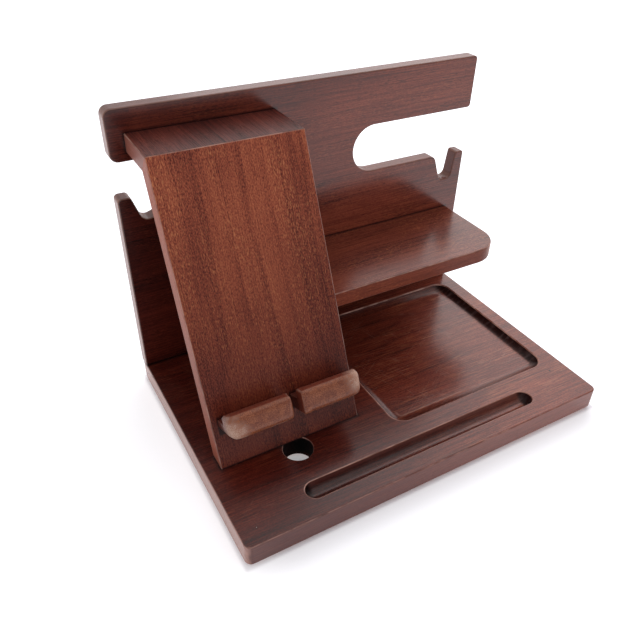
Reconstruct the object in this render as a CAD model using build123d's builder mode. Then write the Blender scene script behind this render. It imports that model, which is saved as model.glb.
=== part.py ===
from build123d import *
import math
import os

# Charging station organizer: stained hardwood boards on a wide base, all sizes in millimetres.
# X runs along the base to the right, Y runs to the back and Z is up. The origin is on the floor,
# under the middle of the base.

# Base board
base_length = 250.0
base_depth = 169.5
base_thickness = 14.4
base_corner_radius = 4.0

# Tray milled into the base
tray_margin = 10.4          # to the base's right edge and to the panel
tray_stand_gap = 17.1       # to the phone board's side
tray_groove_gap = 12.9      # to the pen groove
tray_corner_radius = 10.0
tray_sink = 4.0
tray_cove_radius = 9.5      # of the cutter, which goes in by less than its radius

# Pen groove, cut by a round-nosed cutter
groove_length = 164.0
groove_radius = 5.9
groove_setback = 16.9

# Cable hole, partly tucked under the phone board's foot
cable_hole_radius = 9.0
cable_hole_tuck = 2.6

# Back panel
panel_thickness = 9.5
panel_height = 171.0
rail_left_height = 29.2
rail_right_height = 34.4
rail_left_radius = 4.8
rail_right_radius = 2.5
watch_slot_length = 95.0
watch_slot_height = 31.6

# Key hook at the panel's left end, under the top rail
left_hook_rise = 15.6
left_hook_tip = 7.6
left_hook_root = 13.0
left_hook_tip_radius = 2.6
left_hook_root_radius = 5.0

# Hook at the panel's right end, with the valley beside it
right_hook_tip = 6.7
right_hook_root = 9.2
valley_width = 19.0
valley_floor_width = 9.7
valley_sink = 19.4
valley_radius = 4.5
valley_brow_radius = 5.0
right_hook_tip_radius = 1.8

# Phone stand
stand_inset = 9.3
stand_width = 90.0
stand_setback = 53.8
stand_thickness = 11.6
top_board_thickness = 10.7
top_board_depth = 35.7      # from the panel to the mitre's outer corner
top_board_drop = 13.5       # below the panel's top edge
mitre_edge_radius = 1.4

# Tongue across the mitre
spline_thickness = 2.4
spline_width = 8.0
spline_inset = 12.0
spline_place_share = 0.56   # from the mitre's outer corner towards its inner one

# Phone ledges, measured on the phone board's face
ledge_left_inset = 4.1
ledge_right_inset = 1.4
cable_gap = 5.5             # between the two ledges
ledge_bottom = 20.0
ledge_floor = 28.9
ledge_crest = 34.8
phone_slot_depth = 9.4
lip_thickness = 8.4
crest_radius = 2.2
slot_root_radius = 1.2
ledge_nose_radius = 2.6
ledge_outer_low_radius = 6.5
ledge_outer_high_radius = 3.0
ledge_inner_radius = 1.5
ledge_outer_plan_radius = 6.0

# Shelf
shelf_right_inset = 9.8
shelf_gap = 0.5             # between its left end and the phone board's side
shelf_top_height = 63.1
shelf_front_gap = 3.0       # between the phone board's back and its front edge, at its own height
shelf_thickness = 10.4
shelf_corner_radius = 20.0

# Fixings
screw_radius = 1.75
screw_head_radius = 3.5
screw_tip_length = 5.0
screw_cross_length = 4.0
screw_cross_width = 0.9
screw_cross_sink = 1.3
screw_head_sink = 0.3
panel_screw_length = 38.0
stand_screw_length = 25.0
shelf_screw_length = 32.0
top_screw_length = 28.0
panel_screw_inset = 26.0
stand_screw_inset = 16.0
stand_screw_setback = 8.7   # behind the front edge of the phone board's foot
shelf_screw_inset = 22.0
top_screw_inset = 20.0
countersink_angle = 90.0
dowel_radius = 2.5
dowel_in_board = 7.0
dowel_in_ledge = 10.0
dowel_spacing = 20.0
dowel_chamfer = 0.5

# Pads underneath
foot_radius = 6.0
foot_height = 1.5
foot_inset = 16.0
foot_edge_radius = 0.5

# Finish and fits
edge_radius = 0.8           # sanded edges of the boards
rim_radius = 0.5            # sanded rims of the milled hollows
fit_clearance = 0.1         # around screws, dowels and the mitre's tongue
screw_passage = 0.4         # extra radius where a screw only passes through a board
overrun = 2.0               # how far a cut runs past the surface it opens

# Planes and places worked out from the sizes
base_left = -base_length / 2
base_right = base_length / 2
base_front = -base_depth / 2
base_back = base_depth / 2
base_bottom = foot_height
base_top = foot_height + base_thickness
panel_front = base_back - panel_thickness
rail_edge = panel_height - rail_right_height - watch_slot_height   # top of the panel's lower part

stand_left = base_left + stand_inset
stand_right = stand_left + stand_width
stand_middle = stand_left + stand_width / 2
ledge_width = (stand_width - ledge_left_inset - ledge_right_inset - cable_gap) / 2
stand_foot = base_front + stand_setback
stand_height = panel_height - top_board_drop
stand_top = base_top + stand_height
top_board_bottom = stand_top - top_board_thickness
mitre_outer = (panel_front - top_board_depth, stand_top)
lean = math.atan2(stand_height, mitre_outer[0] - stand_foot)
lean_run = 1 / math.tan(lean)
stand_foot_depth = stand_thickness / math.sin(lean)


def stand_back(height):
    """Y of the phone board's back face at a height above the base."""
    return stand_foot + stand_foot_depth + height * lean_run


mitre_inner = (stand_back(stand_height - top_board_thickness), top_board_bottom)
shelf_middle = shelf_top_height - shelf_thickness / 2
shelf_front = stand_back(shelf_middle) + shelf_front_gap
groove_y = base_front + groove_setback
tray_left = stand_right + tray_stand_gap
tray_right = base_right - tray_margin
tray_front = groove_y + groove_radius + tray_groove_gap
tray_back = panel_front - tray_margin
tray_cove_run = math.sqrt(tray_cove_radius**2 - (tray_cove_radius - tray_sink) ** 2)   # rim to floor

os.makedirs("parts", exist_ok=True)


def finish(piece, name):
    """Names a finished piece and writes it."""
    piece.part.label = name
    export_step(piece.part, f"parts/{name}.step")


def evenly(first, last, count):
    """Places at equal steps from the first to the last."""
    return [first + (last - first) * i / (count - 1) for i in range(count)]


def stand_face_plane(x):
    """A plane across the phone board: its own x runs into the board and its own y up the face."""
    return Plane(
        origin=(x, stand_foot, base_top),
        x_dir=(0, math.sin(lean), -math.cos(lean)),
        z_dir=(1, 0, 0),
    )


def wood_screw(length):
    """A countersunk cross-head screw, pointing down from the flat of its head."""
    with BuildPart() as screw:
        with BuildSketch(Plane.XZ):
            with BuildLine():
                Polyline(
                    (0, 0),
                    (screw_head_radius, 0),
                    (screw_radius, screw_radius - screw_head_radius),
                    (screw_radius, screw_tip_length - length),
                    (0, -length),
                    close=True,
                )
            make_face()
        revolve(axis=Axis.Z)
        with BuildSketch(Plane.XY.offset(-screw_cross_sink)):
            Rectangle(screw_cross_length, screw_cross_width)
            Rectangle(screw_cross_width, screw_cross_length)
        extrude(amount=screw_cross_sink + overrun, mode=Mode.SUBTRACT)
    return screw.part


def dowel_pin(length):
    """A wooden dowel with chamfered ends, centred on its middle and lying along Z."""
    with BuildPart() as pin:
        with BuildSketch(Plane.XY.offset(-length / 2)):
            Circle(dowel_radius)
        extrude(amount=length)
        chamfer(pin.edges().filter_by(GeomType.CIRCLE), length=dowel_chamfer)
    return pin.part


# Where the screws start: planes on the surfaces that they enter, facing out of them
panel_screw_y = panel_front + panel_thickness / 2
panel_screw_places = [
    Plane(origin=(x, panel_screw_y, base_bottom), z_dir=(0, 0, -1))
    for x in evenly(base_left + panel_screw_inset, base_right - panel_screw_inset, 4)
]
stand_screw_places = [
    Plane(origin=(x, stand_foot + stand_screw_setback, base_bottom), z_dir=(0, 0, -1))
    for x in evenly(stand_left + stand_screw_inset, stand_right - stand_screw_inset, 2)
]
shelf_left = stand_right + shelf_gap
shelf_right = base_right - shelf_right_inset
shelf_screw_places = [
    Plane(origin=(x, base_back, base_top + shelf_middle), z_dir=(0, 1, 0))
    for x in evenly(shelf_left + shelf_screw_inset, shelf_right - shelf_screw_inset, 3)
]
top_screw_places = [
    Plane(origin=(x, base_back, stand_top - top_board_thickness / 2), z_dir=(0, 1, 0))
    for x in evenly(stand_left + top_screw_inset, stand_right - top_screw_inset, 2)
]


def screw_passages(places, board_thickness):
    """Cuts the countersunk holes that the screws pass through in the piece being built."""
    with Locations(*places):
        CounterSinkHole(
            radius=screw_radius + screw_passage,
            counter_sink_radius=screw_head_radius + screw_head_sink + fit_clearance,
            depth=board_thickness,
            counter_sink_angle=countersink_angle,
        )


def screw_pilots(places, length):
    """Cuts the holes that the screws bite into in the piece being built."""
    with Locations(*places):
        Cylinder(
            screw_radius + fit_clearance,
            length + fit_clearance,
            align=(Align.CENTER, Align.CENTER, Align.MAX),
            mode=Mode.SUBTRACT,
        )


def screws(places, length, name):
    """Builds and writes one row of screws, their heads sunk a little below the surface."""
    screw = wood_screw(length)
    with BuildPart() as row:
        for place in places:
            with Locations(place.offset(-screw_head_sink)):
                add(screw)
    finish(row, name)


# Base board: a slab with eased edges, the tray, the pen groove and the holes
tray_middle = ((tray_left + tray_right) / 2, (tray_front + tray_back) / 2)
tray_floor = base_top - tray_sink
groove_straight = groove_length - 2 * groove_radius
cable_hole_y = stand_foot + cable_hole_tuck - cable_hole_radius
tray_cutter_spill = tray_cove_radius - tray_cove_run   # how far the cutter's full width passes the rim

with BuildPart() as tray_cutter:
    with BuildSketch(Plane.XY.offset(tray_floor)):
        with Locations(tray_middle):
            RectangleRounded(
                tray_right - tray_left + 2 * tray_cutter_spill,
                tray_back - tray_front + 2 * tray_cutter_spill,
                tray_corner_radius + tray_cutter_spill,
            )
    extrude(amount=tray_cove_radius + overrun)
    fillet(tray_cutter.faces().sort_by(Axis.Z)[0].edges(), radius=tray_cove_radius)

with BuildPart() as base_board:
    with BuildSketch(Plane.XY.offset(base_bottom)):
        RectangleRounded(base_length, base_depth, base_corner_radius)
    extrude(amount=base_thickness)
    fillet(base_board.faces().sort_by(Axis.Z)[-1].edges(), radius=edge_radius)
    fillet(base_board.faces().sort_by(Axis.Z)[0].edges(), radius=edge_radius)
    add(tray_cutter.part, mode=Mode.SUBTRACT)
    with BuildSketch(Plane.YZ.offset(-groove_straight / 2)):
        with Locations((groove_y, base_top)):
            Circle(groove_radius)
    extrude(amount=groove_straight, mode=Mode.SUBTRACT)
    with Locations(
        (-groove_straight / 2, groove_y, base_top), (groove_straight / 2, groove_y, base_top)
    ):
        Sphere(groove_radius, mode=Mode.SUBTRACT)
    with Locations((stand_middle, cable_hole_y, base_top)):
        Hole(cable_hole_radius)
    top_face = base_board.faces().sort_by(Axis.Z)[-1]
    fillet(top_face.inner_wires().edges(), radius=rim_radius)
    screw_passages(panel_screw_places + stand_screw_places, base_thickness)
finish(base_board, "base_board")


# Back panel, drawn on its front face from its lower left corner
panel_plane = Plane(origin=(base_left, panel_front, base_top), x_dir=(1, 0, 0), z_dir=(0, -1, 0))
watch_slot_radius = watch_slot_height / 2
key_slot_height = panel_height - rail_left_height - rail_edge
left_hook_top = rail_edge + left_hook_rise
valley_floor = rail_edge - valley_sink
valley_right = base_length - right_hook_tip
valley_floor_right = base_length - right_hook_root
valley_left = valley_right - valley_width
valley_floor_left = valley_floor_right - valley_floor_width


def round_corner(outline, x, y, radius):
    """Rounds the outline's corner nearest to a place."""
    fillet(outline.vertices().sort_by_distance((x, y))[0], radius=radius)


with BuildPart() as back_panel:
    with BuildSketch(panel_plane) as outline:
        Rectangle(base_length, panel_height, align=(Align.MIN, Align.MIN))
        with Locations((base_length - watch_slot_length + watch_slot_radius, rail_edge)):
            Rectangle(
                watch_slot_length,
                watch_slot_height,
                align=(Align.MIN, Align.MIN),
                mode=Mode.SUBTRACT,
            )
            with Locations((0, watch_slot_radius)):
                Circle(watch_slot_radius, mode=Mode.SUBTRACT)
        with Locations((left_hook_root, rail_edge + key_slot_height / 2)):
            Circle(key_slot_height / 2, mode=Mode.SUBTRACT)
            Rectangle(
                left_hook_root + overrun,
                key_slot_height,
                align=(Align.MAX, Align.CENTER),
                mode=Mode.SUBTRACT,
            )
        with BuildLine():
            Polyline(
                (0, rail_edge),
                (0, left_hook_top),
                (left_hook_tip, left_hook_top),
                (left_hook_root, rail_edge),
                close=True,
            )
        make_face()
        with BuildLine():
            Polyline(
                (valley_left, rail_edge),
                (valley_floor_left, valley_floor),
                (valley_floor_right, valley_floor),
                (valley_right, rail_edge),
                close=True,
            )
        make_face(mode=Mode.SUBTRACT)
        round_corner(outline, 0, panel_height, rail_left_radius)
        round_corner(outline, 0, rail_edge + key_slot_height, rail_left_radius)
        round_corner(outline, base_length, panel_height, rail_right_radius)
        round_corner(outline, base_length, rail_edge + watch_slot_height, rail_right_radius)
        round_corner(outline, 0, left_hook_top, left_hook_tip_radius)
        round_corner(outline, left_hook_tip, left_hook_top, left_hook_tip_radius)
        round_corner(outline, left_hook_root, rail_edge, left_hook_root_radius)
        round_corner(outline, valley_left, rail_edge, valley_brow_radius)
        round_corner(outline, valley_floor_left, valley_floor, valley_radius)
        round_corner(outline, valley_floor_right, valley_floor, valley_radius)
        round_corner(outline, valley_right, rail_edge, right_hook_tip_radius)
        round_corner(outline, base_length, rail_edge, right_hook_tip_radius)
    extrude(amount=-panel_thickness)
    panel_faces = back_panel.faces().filter_by(Axis.Y)
    rim_edges = panel_faces.edges().filter_by(lambda e: e.center().Z > base_top + edge_radius)
    fillet(rim_edges, radius=edge_radius)
    screw_passages(shelf_screw_places + top_screw_places, panel_thickness)
    screw_pilots(panel_screw_places, panel_screw_length)
finish(back_panel, "back_panel")


# Phone stand: one bent profile, split along the mitre into the leaning board and the top board
mitre_run = mitre_inner[0] - mitre_outer[0]
mitre_drop = mitre_outer[1] - mitre_inner[1]
mitre_plane = Plane(
    origin=(stand_middle, *mitre_outer), x_dir=(1, 0, 0), z_dir=(0, mitre_drop, mitre_run)
)
spline_length = stand_width - 2 * spline_inset
spline_plane = Plane(
    origin=(
        stand_middle,
        mitre_outer[0] + spline_place_share * mitre_run,
        mitre_outer[1] - spline_place_share * mitre_drop,
    ),
    x_dir=(1, 0, 0),
    z_dir=mitre_plane.z_dir,
)
stand_face = Plane(
    origin=(0, stand_foot, base_top),
    x_dir=(1, 0, 0),
    z_dir=(0, -math.sin(lean), math.cos(lean)),
)
left_ledge_x = stand_left + ledge_left_inset
right_ledge_x = left_ledge_x + ledge_width + cable_gap
dowel_height = (ledge_bottom + ledge_floor) / 2
slope = Axis((0, 0, 0), (0, math.cos(lean), math.sin(lean)))

with BuildSketch(Plane.YZ.offset(stand_left)) as stand_profile:
    with BuildLine():
        Polyline(
            (stand_foot, base_top),
            mitre_outer,
            (panel_front, stand_top),
            (panel_front, top_board_bottom),
            mitre_inner,
            (stand_foot + stand_foot_depth, base_top),
            close=True,
        )
    make_face()
    round_corner(stand_profile, *mitre_outer, mitre_edge_radius)


def dowel_places(ledge_x):
    """Places of one ledge's two dowels on the phone board's face."""
    middle = ledge_x + ledge_width / 2
    return [(middle - dowel_spacing / 2, dowel_height), (middle + dowel_spacing / 2, dowel_height)]


def dowel_bores(places, depth):
    """Bores for dowels from the phone board's face, outwards for a positive depth."""
    with BuildSketch(stand_face) as bores:
        with Locations(*places):
            Circle(dowel_radius + fit_clearance)
    extrude(bores.sketch, amount=depth, mode=Mode.SUBTRACT)


def spline_groove():
    """Cuts the groove for the tongue across the mitre in the piece being built."""
    with Locations(spline_plane):
        Box(
            spline_length + 2 * fit_clearance,
            spline_thickness + 2 * fit_clearance,
            spline_width + 2 * fit_clearance,
            mode=Mode.SUBTRACT,
        )


with BuildPart() as phone_board:
    extrude(stand_profile.sketch, amount=stand_width)
    split(bisect_by=mitre_plane, keep=Keep.BOTTOM)
    fillet(phone_board.edges().filter_by(slope), radius=edge_radius)
    spline_groove()
    dowel_bores(dowel_places(left_ledge_x), -dowel_in_board - fit_clearance)
    dowel_bores(dowel_places(right_ledge_x), -dowel_in_board - fit_clearance)
    screw_pilots(stand_screw_places, stand_screw_length)
finish(phone_board, "phone_board")

with BuildPart() as top_board:
    extrude(stand_profile.sketch, amount=stand_width)
    split(bisect_by=mitre_plane, keep=Keep.TOP)
    fillet(top_board.edges().filter_by(Axis.Y), radius=edge_radius)
    spline_groove()
    screw_pilots(top_screw_places, top_screw_length)
finish(top_board, "top_board")

with BuildPart() as mitre_spline:
    with Locations(spline_plane):
        Box(spline_length, spline_thickness, spline_width)
finish(mitre_spline, "mitre_spline")


# Phone ledges: a stepped section, rounded more at the end away from the cable gap
ledge_reach = phone_slot_depth + lip_thickness
ledge_height = ledge_crest - ledge_bottom


def ledge(x, outer_x, name):
    """Builds and writes the ledge that starts at x and has its rounder end at outer_x."""
    inner_x = 2 * x + ledge_width - outer_x
    with BuildPart() as block:
        with BuildSketch(stand_face_plane(x)) as section:
            with BuildLine():
                Polyline(
                    (0, ledge_bottom),
                    (-ledge_reach, ledge_bottom),
                    (-ledge_reach, ledge_crest),
                    (-phone_slot_depth, ledge_crest),
                    (-phone_slot_depth, ledge_floor),
                    (0, ledge_floor),
                    close=True,
                )
            make_face()
            round_corner(section, -ledge_reach, ledge_bottom, ledge_nose_radius)
            round_corner(section, -ledge_reach, ledge_crest, crest_radius)
            round_corner(section, -phone_slot_depth, ledge_crest, crest_radius)
            round_corner(section, -phone_slot_depth, ledge_floor, slot_root_radius)
        extrude(amount=ledge_width)
        with BuildSketch(stand_face) as front:
            with Locations((x, ledge_bottom)):
                Rectangle(ledge_width, ledge_height, align=(Align.MIN, Align.MIN))
            round_corner(front, outer_x, ledge_bottom, ledge_outer_low_radius)
            round_corner(front, outer_x, ledge_crest, ledge_outer_high_radius)
            round_corner(front, inner_x, ledge_bottom, ledge_inner_radius)
            round_corner(front, inner_x, ledge_crest, ledge_inner_radius)
        extrude(amount=ledge_reach, mode=Mode.INTERSECT)
        foot_of_ledge = stand_face.from_local_coords((0, ledge_bottom))
        with BuildSketch(
            Plane(origin=foot_of_ledge, x_dir=(1, 0, 0), z_dir=slope.direction)
        ) as plan:
            with Locations((x, 0)):
                Rectangle(ledge_width, ledge_reach, align=(Align.MIN, Align.MAX))
            round_corner(plan, outer_x, -ledge_reach, ledge_outer_plan_radius)
            round_corner(plan, inner_x, -ledge_reach, ledge_inner_radius)
        extrude(amount=ledge_height, mode=Mode.INTERSECT)
        dowel_bores(dowel_places(x), dowel_in_ledge + fit_clearance)
    finish(block, name)


def ledge_dowels(x, name):
    """Builds and writes one ledge's two dowels."""
    pin = dowel_pin(dowel_in_ledge + dowel_in_board)
    middle = (dowel_in_ledge - dowel_in_board) / 2
    with BuildPart() as pins:
        for place in dowel_places(x):
            with Locations(Plane(stand_face.from_local_coords((*place, middle)), z_dir=stand_face.z_dir)):
                add(pin)
    finish(pins, name)


ledge(left_ledge_x, left_ledge_x, "left_ledge")
ledge(right_ledge_x, right_ledge_x + ledge_width, "right_ledge")
ledge_dowels(left_ledge_x, "left_ledge_dowels")
ledge_dowels(right_ledge_x, "right_ledge_dowels")


# Shelf: its back edge meets the panel and its free edges are eased
with BuildPart() as shelf:
    with BuildSketch(Plane.XY.offset(base_top + shelf_middle - shelf_thickness / 2)) as shelf_outline:
        with Locations((shelf_left, shelf_front)):
            Rectangle(shelf_right - shelf_left, panel_front - shelf_front, align=Align.MIN)
        round_corner(shelf_outline, shelf_right, shelf_front, shelf_corner_radius)
    extrude(amount=shelf_thickness)
    shelf_faces = shelf.faces().filter_by(Axis.Z)
    fillet(
        shelf_faces.edges().filter_by(lambda e: e.center().Y < panel_front - edge_radius),
        radius=edge_radius,
    )
    screw_pilots(shelf_screw_places, shelf_screw_length)
finish(shelf, "shelf")


# Fixings and feet
screws(panel_screw_places, panel_screw_length, "panel_screws")
screws(stand_screw_places, stand_screw_length, "stand_screws")
screws(shelf_screw_places, shelf_screw_length, "shelf_screws")
screws(top_screw_places, top_screw_length, "top_board_screws")

foot_x = {"left": base_left + foot_inset, "right": base_right - foot_inset}
foot_y = {"front": base_front + foot_inset, "back": base_back - foot_inset}
for depth_name, y in foot_y.items():
    for side_name, x in foot_x.items():
        with BuildPart() as foot:
            with Locations((x, y)):
                Cylinder(foot_radius, foot_height, align=(Align.CENTER, Align.CENTER, Align.MIN))
            fillet(foot.edges().sort_by(Axis.Z)[0], radius=foot_edge_radius)
        finish(foot, f"foot_{depth_name}_{side_name}")
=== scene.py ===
import math

import bmesh
import bpy
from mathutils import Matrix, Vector


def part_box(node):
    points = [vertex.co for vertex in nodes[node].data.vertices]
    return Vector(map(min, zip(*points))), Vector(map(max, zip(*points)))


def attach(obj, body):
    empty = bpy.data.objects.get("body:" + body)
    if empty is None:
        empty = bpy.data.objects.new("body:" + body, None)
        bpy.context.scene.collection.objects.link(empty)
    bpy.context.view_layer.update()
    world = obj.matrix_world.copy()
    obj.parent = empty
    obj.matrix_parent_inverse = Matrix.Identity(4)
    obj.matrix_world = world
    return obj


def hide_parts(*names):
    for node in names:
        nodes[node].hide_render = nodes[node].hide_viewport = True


# Charging station organizer: stained and lacquered hardwood boards on rubber pads.
# Lengths are metres, except in the finishes, whose patterns and masks are measured in millimetres.
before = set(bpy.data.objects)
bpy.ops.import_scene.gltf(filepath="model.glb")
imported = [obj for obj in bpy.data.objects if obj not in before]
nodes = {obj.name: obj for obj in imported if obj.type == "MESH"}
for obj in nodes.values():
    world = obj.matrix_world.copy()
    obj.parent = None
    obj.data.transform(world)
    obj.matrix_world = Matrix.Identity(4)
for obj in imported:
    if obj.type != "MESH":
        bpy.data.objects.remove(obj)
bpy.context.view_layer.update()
MM = 0.001
BODY = "root"

# Camera, solved from the straight edges of the boards
CAMERA_PLACE = (-0.193008, -0.266501, 0.301132)
CAMERA_TURN = (53.4886, -1.2368, -29.5475)  # degrees
CAMERA_LENS = 36.6244  # millimetres, on a sensor of CAMERA_SENSOR
CAMERA_SENSOR = 36.0

# Sizes taken from the boards
BASE_LOW, BASE_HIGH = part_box("base_board")
PANEL_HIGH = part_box("back_panel")[1]
STAND_LOW, STAND_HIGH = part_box("phone_board")
STAND_LEAN = math.radians(65.9)  # of the leaning board's face, from level


def in_millimetres(corner):
    """A place in the finishes' own unit."""
    return tuple(value / MM for value in corner)


def box_of(node_name):
    """A piece's box in millimetres, as its low and its high corner."""
    return tuple(in_millimetres(corner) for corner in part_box(node_name))


def tint(red, green, blue):
    """A colour given as 0 to 255 in the photograph's own scale, as the shader's linear values."""
    def linear(value):
        share = value / 255
        return share / 12.92 if share <= 0.04045 else ((share + 0.055) / 1.055) ** 2.4

    return (linear(red), linear(green), linear(blue), 1.0)


def new_object(name, data):
    """An object with its place in the scene."""
    made = bpy.data.objects.new(name, data)
    bpy.context.scene.collection.objects.link(made)
    return made


# Shader tree helpers
X, Y, Z = 0, 1, 2  # the parts of a place or a normal


def put(tree, kind, inputs=None, **settings):
    """Adds a node to a tree. Its inputs are values, or the sockets that feed them."""
    made = tree.nodes.new(kind)
    for name, value in settings.items():
        setattr(made, name, value)
    for key, value in (inputs or {}).items():
        if isinstance(value, bpy.types.NodeSocket):
            tree.links.new(value, made.inputs[key])
        else:
            made.inputs[key].default_value = value
    return made


def fed(kind, inputs, **settings):
    """Adds a node to the tree that its inputs come from."""
    sockets = [value for value in inputs.values() if isinstance(value, bpy.types.NodeSocket)]
    return put(sockets[0].id_data, kind, inputs, **settings)


def reckon(operation, first, second=0.0, third=0.0, clamp=False):
    """The result of one sum."""
    made = fed("ShaderNodeMath", {0: first, 1: second, 2: third}, operation=operation, use_clamp=clamp)
    return made.outputs[0]


def combined(operation, values):
    """One value from several, which the same sum takes in one by one."""
    total = values[0]
    for value in values[1:]:
        total = reckon(operation, total, value)
    return total


def times(*values):
    """Values multiplied together."""
    return combined("MULTIPLY", values)


def added(value, share, amount):
    """A value with some of another added to it."""
    return reckon("MULTIPLY_ADD", share, amount, value)


def swayed(value, noise, reach):
    """A value that a noise moves up and down, by half its reach each way."""
    return added(value, reckon("SUBTRACT", noise, 0.5), reach)


def less_by(value, mask, most=1.0):
    """A value made smaller where a mask says so, by at most a share of itself."""
    return times(value, added(1.0, mask, -most))


def vector_sum(operation, first, second=(0.0, 0.0, 0.0)):
    """The vector that one sum on vectors gives."""
    return fed("ShaderNodeVectorMath", {0: first, 1: second}, operation=operation).outputs[0]


def vector_size(vector):
    """How long a vector is."""
    return fed("ShaderNodeVectorMath", {0: vector}, operation="LENGTH").outputs["Value"]


def distance_from(place, point):
    """How far a place is from a point."""
    return vector_size(vector_sum("SUBTRACT", place, point))


def share_along(vector, direction):
    """How far a vector goes along a direction."""
    made = fed("ShaderNodeVectorMath", {0: vector, 1: tuple(direction)}, operation="DOT_PRODUCT")
    return made.outputs["Value"]


def parts_of(vector):
    """A vector's parts along X, Y and Z."""
    return fed("ShaderNodeSeparateXYZ", {0: vector}).outputs


def spread(value, low, high, to_low=0.0, to_high=1.0):
    """A value taken from one range to another, smoothly and held at its ends."""
    inputs = {"Value": value, "From Min": low, "From Max": high, "To Min": to_low, "To Max": to_high}
    return fed("ShaderNodeMapRange", inputs, interpolation_type="SMOOTHSTEP").outputs["Result"]


def stretched_noise(vector, scales, detail=2.0, roughness=0.5):
    """Soft noise with its own scale along each axis."""
    scaled = vector_sum("MULTIPLY", vector, scales)
    inputs = {"Vector": scaled, "Scale": 1.0, "Detail": detail, "Roughness": roughness}
    return fed("ShaderNodeTexNoise", inputs).outputs["Fac"]


def even_noise(vector, scale, detail=2.0):
    """Soft noise with the same scale along every axis."""
    return stretched_noise(vector, (scale, scale, scale), detail)


def long_cell(length, width):
    """The scale of a pattern whose cells are long along X and narrow across it."""
    size = fed("ShaderNodeCombineXYZ", {"X": length, "Y": width, "Z": width}).outputs[0]
    return vector_sum("DIVIDE", (1.0, 1.0, 1.0), size)


# A Mix node takes two values at its inputs 2 and 3, and two colours at 6 and 7
def blend_value(share, first, second):
    """A mix of two values."""
    return fed("ShaderNodeMix", {0: share, 2: first, 3: second}, data_type="FLOAT").outputs[0]


def blend_colour(share, first, second, blend="MIX"):
    """A mix of two colours."""
    inputs = {0: share, 6: first, 7: second}
    return fed("ShaderNodeMix", inputs, data_type="RGBA", blend_type=blend).outputs[2]


def darkened_by(colour, share, coat):
    """A colour darkened where the share says so: by stain on edges, by scorching and a knot, and elsewhere
    by painted shade and painted shadow.
    """
    return blend_colour(share, colour, coat, "MULTIPLY")


def new_group(name, inputs, outputs):
    """An empty shader group with named sockets: its tree, its inputs and its outputs."""
    tree = bpy.data.node_groups.new(name, "ShaderNodeTree")
    for socket, value in inputs.items():
        kind = "NodeSocketVector" if value is None else "NodeSocketFloat"
        made = tree.interface.new_socket(socket, in_out="INPUT", socket_type=kind)
        if value is not None:
            made.default_value = value
    for socket in outputs:
        tree.interface.new_socket(socket, in_out="OUTPUT", socket_type="NodeSocketFloat")
    given = tree.nodes.new("NodeGroupInput").outputs
    result = tree.nodes.new("NodeGroupOutput").inputs
    return tree, given, result


def use_group(group, inputs):
    """Places a group in a material and gives its outputs."""
    return fed("ShaderNodeGroup", inputs, node_tree=group).outputs


def emptied_tree(holder):
    """The shader tree of a new material or world, with nothing in it."""
    holder.use_nodes = True
    holder.node_tree.nodes.clear()
    return holder.node_tree


def show(shader, output="ShaderNodeOutputMaterial"):
    """Lets a shader be what the material or the world shows."""
    tree = shader.id_data
    tree.links.new(shader.outputs[0], tree.nodes.new(output).inputs["Surface"])


def bumped(height, distance, strength):
    """The normal that a height gives, with a relief of so many millimetres."""
    inputs = {"Height": height, "Distance": distance * MM, "Strength": strength}
    return fed("ShaderNodeBump", inputs).outputs["Normal"]


# Effects that several finishes share. A scale counts a noise's cells to the millimetre, first along the
# grain. A range is where a pattern starts and where it is full, in its noise or in how far a face looks
# one way, and may end with what it goes from and to.
SLOW_SWAY_SCALE = (0.006, 0.035, 0.035)
QUICK_SWAY_SCALE, QUICK_SWAY = (0.03, 0.5, 0.5), 0.7
RING_SHARPNESS = 3.0
RING_END = (0.9, 1.0, 1.0, 0.0)
RING_STRENGTH = (0.0, 1.0, 0.35, 1.25)
FIBRE_LENGTH, FIBRE_RANGE = 45.0, (0.34, 0.66)
PORE_RANGE, FLECK_RANGE = (0.56, 0.68), (0.52, 0.7)
PORE_CROWDS, PORE_CROWD_SCALE = (0.35, 0.65, 0.25, 1.0), (0.02, 0.2, 0.2)
FLECK_CROWDS, FLECK_CROWD_SCALE = (0.42, 0.6, 0.25, 1.0), (0.015, 0.06, 0.06)
FLECKS_MOVED = (37.0, 11.0, 5.0)  # from the pores, which come from the same noise
CLOUD_SCALE, CLOUD_RANGE = (0.009, 0.028, 0.028), (0.3, 0.7)
MOTTLE_SCALE, MOTTLE_RANGE = (0.8, 1.9, 1.9), (0.3, 0.7)
EDGE_RANGE = (0.985, 0.86)  # of the largest part of the normal
RUB_SCALE, RUB_RANGE = 0.09, (0.4, 0.62)
SPECK_SIZES = (0.45, 1.0, 0.0, 0.028)  # most cells have none, and the largest is this share of its cell
SPECK_UP = (0.2, 0.8)
SCRATCH_SETS = ((0.35, 3.0), (-0.55, 19.0), (1.2, 41.0))  # how far each set is turned, and moved
SCRATCH_SCALE = (0.012, 0.22, 0.05)
SCRATCHED_SCALE, SCRATCHED_RANGE = (0.03, 0.06, 0.06), (0.52, 0.62)  # of the patches that have scratches
SPECKLE_RANGE = (0.35, 0.65)
SPECKLE_SIZES = (("Fine", 1.0, 1.0), ("Coarse", 0.11, 3.0))  # with the share of the scale and the detail

# What a board's own part says of its grain, by the grain's inputs
GRAIN_INPUTS = {
    "Ring Pitch": "pitch",
    "Ring Sway": "sway",
    "Fibre Width": "fibre_width",
    "Pore Width": "pore_width",
    "Pore Length": "pore_length",
    "Fleck Width": "fleck_width",
    "Fleck Length": "fleck_length",
}


def crowded_marks(grain, scale, marks, crowd_scale, crowds):
    """Short marks in wood, which stand close together in some places and apart in others."""
    found = spread(stretched_noise(grain, scale, detail=1.0), *marks)
    return times(found, spread(stretched_noise(grain, crowd_scale), *crowds))


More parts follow.
